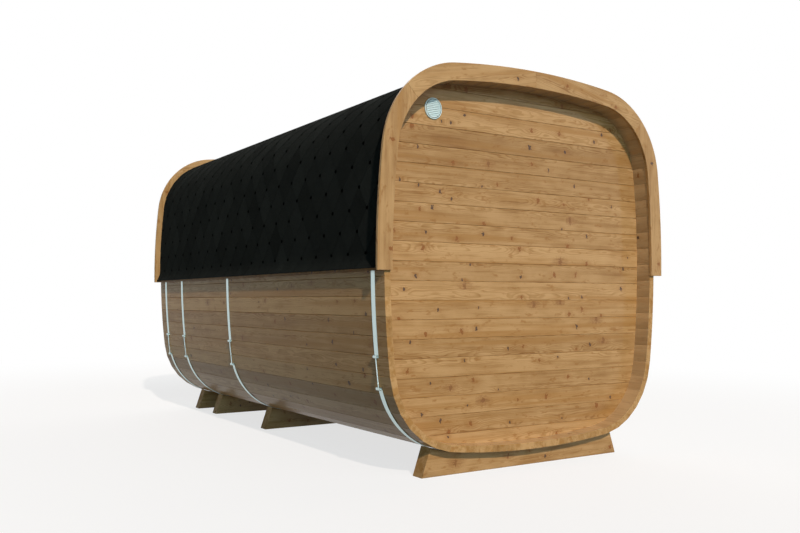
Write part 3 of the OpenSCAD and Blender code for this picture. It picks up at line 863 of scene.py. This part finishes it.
def trim_board(pile, first, last, face):
    """One curved trim board, sawn from a straight wide one, between two distances round the
    outline; face is the Y of its back."""
    middle = (first + last) / 2
    outwards = math.copysign(1, face)
    x1, z1 = outline(first)
    x2, z2 = outline(last)
    chord = math.hypot(x2 - x1, z2 - z1)
    ux, uz = (x2 - x1) / chord, (z2 - z1) / chord
    if abs(uz) > abs(ux):  # the grain of an upright trim runs plumb
        ux, uz = 0.0, 1.0

    def place(along, across, depth):
        x, z = outline(middle + along, across)
        return x, face + outwards * depth, z

    def straight(along, across):
        x, z = outline(middle + along, across)
        return (x - x1) * ux + (z - z1) * uz, (z - z1) * ux - (x - x1) * uz

    profile = box_profile(-TRIM_IN, TRIM_OUT, 0.0, TRIM_T, TRIM_BEVEL)
    board(pile, last - first - 2 * GAP, TRIM_IN + TRIM_OUT, profile, place, ends=0.001,
          step=0.03, knotty=1.4, spread=0.4, feel=straight)


# ---------- roof ----------

def roof_point(side, y, h, off):
    """A point of the covering at h above mid-height along it; below KICK_TOP it kicks out."""
    if h >= KICK_TOP:
        x, z = outline(RIGHT_MID + h, off)
    else:
        x0, z0 = outline(RIGHT_MID + KICK_TOP, 0)
        slant = math.hypot(KICK_OUT, KICK_DOWN)
        out, down = KICK_OUT / slant, KICK_DOWN / slant
        run = KICK_TOP - h
        x, z = x0 + out * run + down * off, z0 - down * run + out * off
    return side * x, y, z


def tab_edge(y):
    """Height of a tab's lower edge above its tip, at y from its middle: a gently bellied V
    between narrow notches."""
    y = abs(y)
    if y > HALF_TAB - NOTCH:
        return ROW_H + NOTCH_PAST
    return (ROW_H - NOTCH_TOP) * (y / (HALF_TAB - NOTCH)) ** TAB_BELLY


def sheet(pile, side, columns, edge, tip, sunk, spots, look):
    """A curved sheet over the given columns along Y, from its edge up to the ridge or its end,
    sunk by so much. It rises towards its tip by a little more than a thickness in each row."""
    end = min(tip + TAB_L, RIDGE)
    rise, lowest = 1.06 * TAB_T / ROW_H, TAB_T + 0.0005
    shares = (0.07, 0.2, 0.4, 0.7, 1.0)  # of the way up from the rim, closest at first
    rings, grain, hues = [], [], []
    for y, from_h in zip(columns, edge):
        rim = from_h + TAB_SHADE_RIM
        heights = [from_h, rim] + [rim + (end - rim) * share for share in shares]
        tops = [(h, max(ROOF_T - (h - tip) * rise, lowest)) for h in heights]
        # the last value is 0 at the tab's edge and underneath, where the painted shade is
        # darkest
        marks = [(h, off - sunk, 0.0 if i == 0 else 1.0) for i, (h, off) in enumerate(tops)]
        marks += [(h, off - TAB_T - sunk, 0.0) for h, off in tops[::-1]]
        rings.append([roof_point(side, y, h, off) for h, off, _ in marks])
        grain.append([(y, h, side) for h, _, _ in marks])
        hues.append([hue for _, _, hue in marks])
    pile.grid(rings, grain, look, knots=spots, hues=hues)


def shingles(word, side, material):
    """All rows of diamond tabs on one side of the roof, over a starter strip."""
    pile = Pile("shingles_" + word)
    end = HALF_L - GAP
    starter_strip(pile, side, end)
    rows = math.ceil((RIDGE - FIRST_NOTCH) / ROW_H) + 1
    least, ahead = 0.05, 2.5 * TAB_W
    for row in range(rows):
        tip = FIRST_NOTCH + (row - 1) * ROW_H
        if tip > RIDGE - least:
            break
        middle = -HALF_L + SHIFTS[row % 2] - ahead
        while middle - HALF_TAB < end:
            tab(pile, side, middle, tip, end)
            middle += TAB_W
    dress(pile.build(material), "roof_shingles", "roofing_" + word)


def starter_strip(pile, side, end):
    """The straight-edged sheet under the first row, with painted shade spots in that row's
    notches.
    """
    first, tip = -HALF_L + SHIFTS[0], EAVE - 0.03
    count = math.ceil(2 * HALF_L / TAB_W) + 1
    columns = [first + (i - 0.5) * TAB_W for i in range(count)]
    columns = [-end] + [y for y in columns if -end < y < end] + [end]
    spots = [(0.0, first + round(((a + b) / 2 - first) / TAB_W) * TAB_W,
              FIRST_NOTCH - NOTCH_TOP / 2, NOTCH_SHADE_R) for a, b in zip(columns, columns[1:])]
    sheet(pile, side, columns, [EAVE] * len(columns), tip, TAB_T + GAP, spots, (0.0, 0.0))


def tab(pile, side, middle, tip, end):
    """One tab of a row, cut off at the roof's ends and at the drip edge."""
    notch = HALF_TAB - NOTCH
    # closer where the edge bends and where the notch starts
    half = [0.0, 0.008, 0.022, 0.04, 0.06, 0.08, notch - 0.0005, notch + 0.0002, HALF_TAB]
    both = half + [-mark for mark in half]
    marks = spaced([min(max(mark, -end - middle), end - middle) for mark in both], GAP)
    if len(marks) < 2:
        return
    edge = [max(tip + tab_edge(mark), EAVE) for mark in marks]
    spots = []
    for a, b in zip(marks, marks[1:]):
        side_on = round((a + b) / TAB_W)
        up = tip + (1 if side_on else 2) * ROW_H - NOTCH_TOP / 2
        spots.append((0.0, middle + side_on * HALF_TAB, up, NOTCH_SHADE_R))
    sheet(pile, side, [middle + mark for mark in marks], edge, tip, 0.0, spots,
          (rng.gauss(0, 1), 0.0))


def ridge(material):
    """The row of lapped felt cap pieces that closes the top."""
    pile = Pile("ridge_caps")
    end = HALF_L - GAP
    facets = 8
    near_off, far_off = ROOF_T + 2 * CAP_T, ROOF_T + CAP_T * (1 - CAP_LAP / CAP_STEP)
    y = -end
    while y < end:
        far = min(y + CAP_STEP + CAP_LAP, end)
        section = ((y, near_off), (far, far_off), (far, far_off - CAP_T), (y, near_off - CAP_T))
        rings, grain = [], []
        for i in range(facets + 1):
            s = TOP_MID - CAP_HALF + 2 * CAP_HALF * i / facets
            points = [outline(s, off) for _, off in section]
            rings.append([(x, at, z) for (x, z), (at, _) in zip(points, section)])
            grain.append([(at, s, 0.0) for at, _ in section])
        pile.grid(rings, grain, (rng.gauss(0, 1), 1.0))
        y += CAP_STEP
    dress(pile.build(material), "roof_shingles", "roofing_top")


def batten(word, side, material):
    """The brown eave batten under one drip edge."""
    node = "eave_batten_" + word
    low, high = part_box(node)
    width = high.z - low.z

    def place(along, across, depth):
        return side * (HALF_W + depth), along, low.z + across

    out = max(abs(low.x), abs(high.x)) - HALF_W
    profile = box_profile(0, width, BATTEN_IN, out, BATTEN_BEVEL)
    pile = Pile("batten_" + word)
    board(pile, 2 * (HALF_L - GAP), width, profile, place, knotty=0.8)
    dress(pile.build(material), "batten_wood", node)


# ---------- cradles ----------

def cradle(node, material):
    """One sawn beam with sloping ends, hollowed to the shell that lies in it."""
    low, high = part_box(node)
    half, middle, thick = high.x, (low.y + high.y) / 2, high.y - low.y

    def top_at(x):
        return min(high.z, MID_Z - half_height(x, SEAT))

    def place(along, share_up, depth):
        share = along / half
        z = share_up
        for _ in range(4):  # the ends slope, so x follows z and z follows x
            x = share * (half - z * END_SLOPE)
            z = share_up * top_at(x)
        return x, middle + depth, z

    def side(share_up):
        return thick / 2 - (BEAM_BEVEL if share_up in (0.0, 1.0) else 0)

    levels = (0.0, 0.03, 0.25, 0.5, 0.75, 0.97, 1.0)
    profile = [(t, -side(t)) for t in levels] + [(t, side(t)) for t in levels[::-1]]
    knots = [(at, along, BEAM_HEART + across, kind)
             for at, along, across, kind in scatter_knots(2 * half, width=0.08, per_metre=2.6)]
    stations = stations_for(2 * half, knots, step=0.05, ends=BEAM_BEVEL)
    pile = Pile("beam_" + node)
    shaped_board(pile, profile, stations, place, (0.0, 0.0), board_look(0.6),
                 log_shift(0.15), knots)
    dress(pile.build(material), "cradle_wood", node)


# ---------- door ----------

def door_board(pile, x, y, z, length, width, profile, upright=True, ends=0.0015):
    """A straight board of the door round its middle, upright or level."""
    def place(along, across, depth):
        if upright:
            return x + across, y + depth, z + along
        return x + along, y + depth, z + across

    board(pile, length, width, profile, place, ends=ends)


def door(material):
    """The plank leaf and its frame, in the front wall."""
    low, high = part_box("door_leaf")
    pile = Pile("leaf_planks")
    width = (high.x - low.x) / PLANKS
    profile = panel_profile(width, high.y - low.y, BOARD_JOINT)
    for k in range(PLANKS):
        door_board(pile, low.x + (k + 0.5) * width, high.y, (low.z + high.z) / 2,
                   high.z - low.z, width, profile)
    dress(pile.build(material), "door_wood", "door_leaf")

    low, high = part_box("door_frame")
    pile = Pile("frame_boards")
    middle_y, half_t, half_w = (low.y + high.y) / 2, (high.y - low.y) / 2, POST_W / 2
    profile = box_profile(-half_w, half_w, -half_t, half_t, POST_BEVEL)
    for x in (low.x + half_w, high.x - half_w):
        door_board(pile, x, middle_y, (low.z + high.z) / 2, high.z - low.z, POST_W, profile,
                   ends=POST_BEVEL)
    rail = high.x - low.x - 2 * POST_W - 2 * GAP
    for z in (low.z + half_w, high.z - half_w):
        door_board(pile, 0.0, middle_y, z, rail, POST_W, profile, upright=False,
                   ends=POST_BEVEL)
    dress(pile.build(material), "door_wood", "door_frame")


# ---------- steel, vent and handle ----------

def paint_nodes(looks):
    """Gives the solids whose names start with a word the material for that word."""
    for prefix, material in looks.items():
        for name, obj in NODES.items():
            if name.startswith(prefix):
                obj.data.materials.clear()
                obj.data.materials.append(material)


# ---------- stage, lights and camera ----------

FLOOR_REACH, FADE_FROM, FADE_TO, NEAR_GLOW = 60.0, 3.0, 9.0, 0.72
FLOOR_LIT, FLOOR_BOUNCE = srgb(248, 248, 248), srgb(106, 113, 110)
WHITE = (1, 1, 1, 1)
# name, energy, the angle it fills in degrees, colour, the way to it
LAMPS = [
    ("key", 2.62, 1.2, (1.0, 0.88, 0.78), (-0.28, -1.0, 0.75)),
    ("fill", 1.0, 90.0, (0.97, 0.98, 1.0), (0.20, -1.0, 0.10)),
    ("low", 1.25, 50.0, (0.36, 0.76, 1.0), (-0.5, -1.0, 0.04)),
    ("back", 2.2, 90.0, (1.0, 0.98, 0.95), (0.75, 0.75, 0.30)),
]
CAMERA_AT, CAMERA_TURN = (-4.074, -5.858, 1.137), -28.63
SENSOR_W, FOCAL_LENGTH, SHIFT_X, SHIFT_Y = 36.0, 35.43, 0.1467, 0.0413


def stage():
    """A pale floor that fades into a white background and keeps the object's shadow."""
    mesh = bpy.data.meshes.new("floor")
    corners = [(-1, -1), (1, -1), (1, 1), (-1, 1)]
    mesh.from_pydata([(FLOOR_REACH * x, FLOOR_REACH * y, 0) for x, y in corners], [],
                     [(0, 1, 2, 3)])
    sh = Shader("floor_paint")
    away = sh.smooth(sh.vector("LENGTH", sh.position()), FADE_FROM, FADE_TO, NEAR_GLOW, 1.0)
    seen = sh.seen()
    glow = sh.node("ShaderNodeEmission", {"Color": WHITE, "Strength": 1.0}).outputs[0]
    sh.set(Base_Color=sh.mix(seen, FLOOR_BOUNCE, FLOOR_LIT), Roughness=0.9,
           Specular_IOR_Level=0.0)
    sh.blend(sh.math("MULTIPLY", seen, away), sh.bsdf.outputs[0], glow, "Material Output")
    mesh.materials.append(sh.material)
    new_object("floor", mesh)


def lights():
    """A warm key light before the vented end, a broad fill and a cool low one beside it, and
    a broad one behind."""
    for name, energy, spread, colour, towards in LAMPS:
        data = bpy.data.lights.new(name, "SUN")
        data.energy = energy
        data.angle = math.radians(spread)
        data.color = colour
        lamp = new_object(name, data)
        lamp.rotation_mode = "QUATERNION"
        lamp.rotation_quaternion = Vector(towards).to_track_quat("Z", "Y")


def surround():
    """A faint cool sky for the light, and plain white to the eye."""
    world = bpy.data.worlds.new("surround")
    bpy.context.scene.world = world
    world.use_nodes = True
    nodes = Nodes(world.node_tree)
    sky = nodes.tree.nodes["Background"]
    nodes.put(sky.inputs["Color"], (0.80, 0.93, 0.95, 1.0))
    nodes.put(sky.inputs["Strength"], 0.05)
    white = nodes.node("ShaderNodeBackground", {"Color": WHITE})
    nodes.blend(nodes.seen(), sky.outputs[0], white.outputs[0], "World Output")


def camera():
    """Low, level, off the vented end's left-hand corner, with a shifted lens."""
    data = bpy.data.cameras.new("camera")
    data.sensor_width = SENSOR_W
    data.lens = FOCAL_LENGTH
    data.shift_x, data.shift_y = SHIFT_X, SHIFT_Y
    obj = new_object("camera", data)
    obj.location = CAMERA_AT
    obj.rotation_euler = (math.radians(90), 0, math.radians(CAMERA_TURN))
    bpy.context.scene.camera = obj


# ---------- the whole ----------

def build():
    """Stage first, then every piece, in the order that the random draws go by."""
    camera()
    lights()
    surround()
    stage()
    bpy.context.scene.view_settings.view_transform = "Standard"
    shell(wood("stave_wood", BOARD_TONES, inner=1.0, bare=0.3))
    end_walls(wood("wall_wood", BOARD_TONES))
    trims(wood("trim_wood", TRIM_TONES))
    felt = shingle_material()
    batten_wood = wood("batten_wood", BATTEN_TONES, gloss=0.05, inner=0.05)
    sides = {"right": 1, "left": -1}
    for word, side in sides.items():
        shingles(word, side, felt)
    ridge(felt)
    for word, side in sides.items():
        batten(word, side, batten_wood)
    cradle_wood = wood("cradle_wood", BOARD_TONES)
    for node in sorted(name for name in NODES if name.startswith("cradle_")):
        cradle(node, cradle_wood)
    door(wood("door_wood", BOARD_TONES))
    paint_nodes({
        "strap": steel_material("strap_steel", 0.34),
        "tensioners": steel_material("rod_steel", 0.30, thread=0.0015),
        "door_hinges": steel_material("hinge_steel", 0.34),
        "vent": vent_material(),
        "door_handle": wood("handle_wood", HANDLE_TONES, upright_grain, knotty=False),
    })


build()
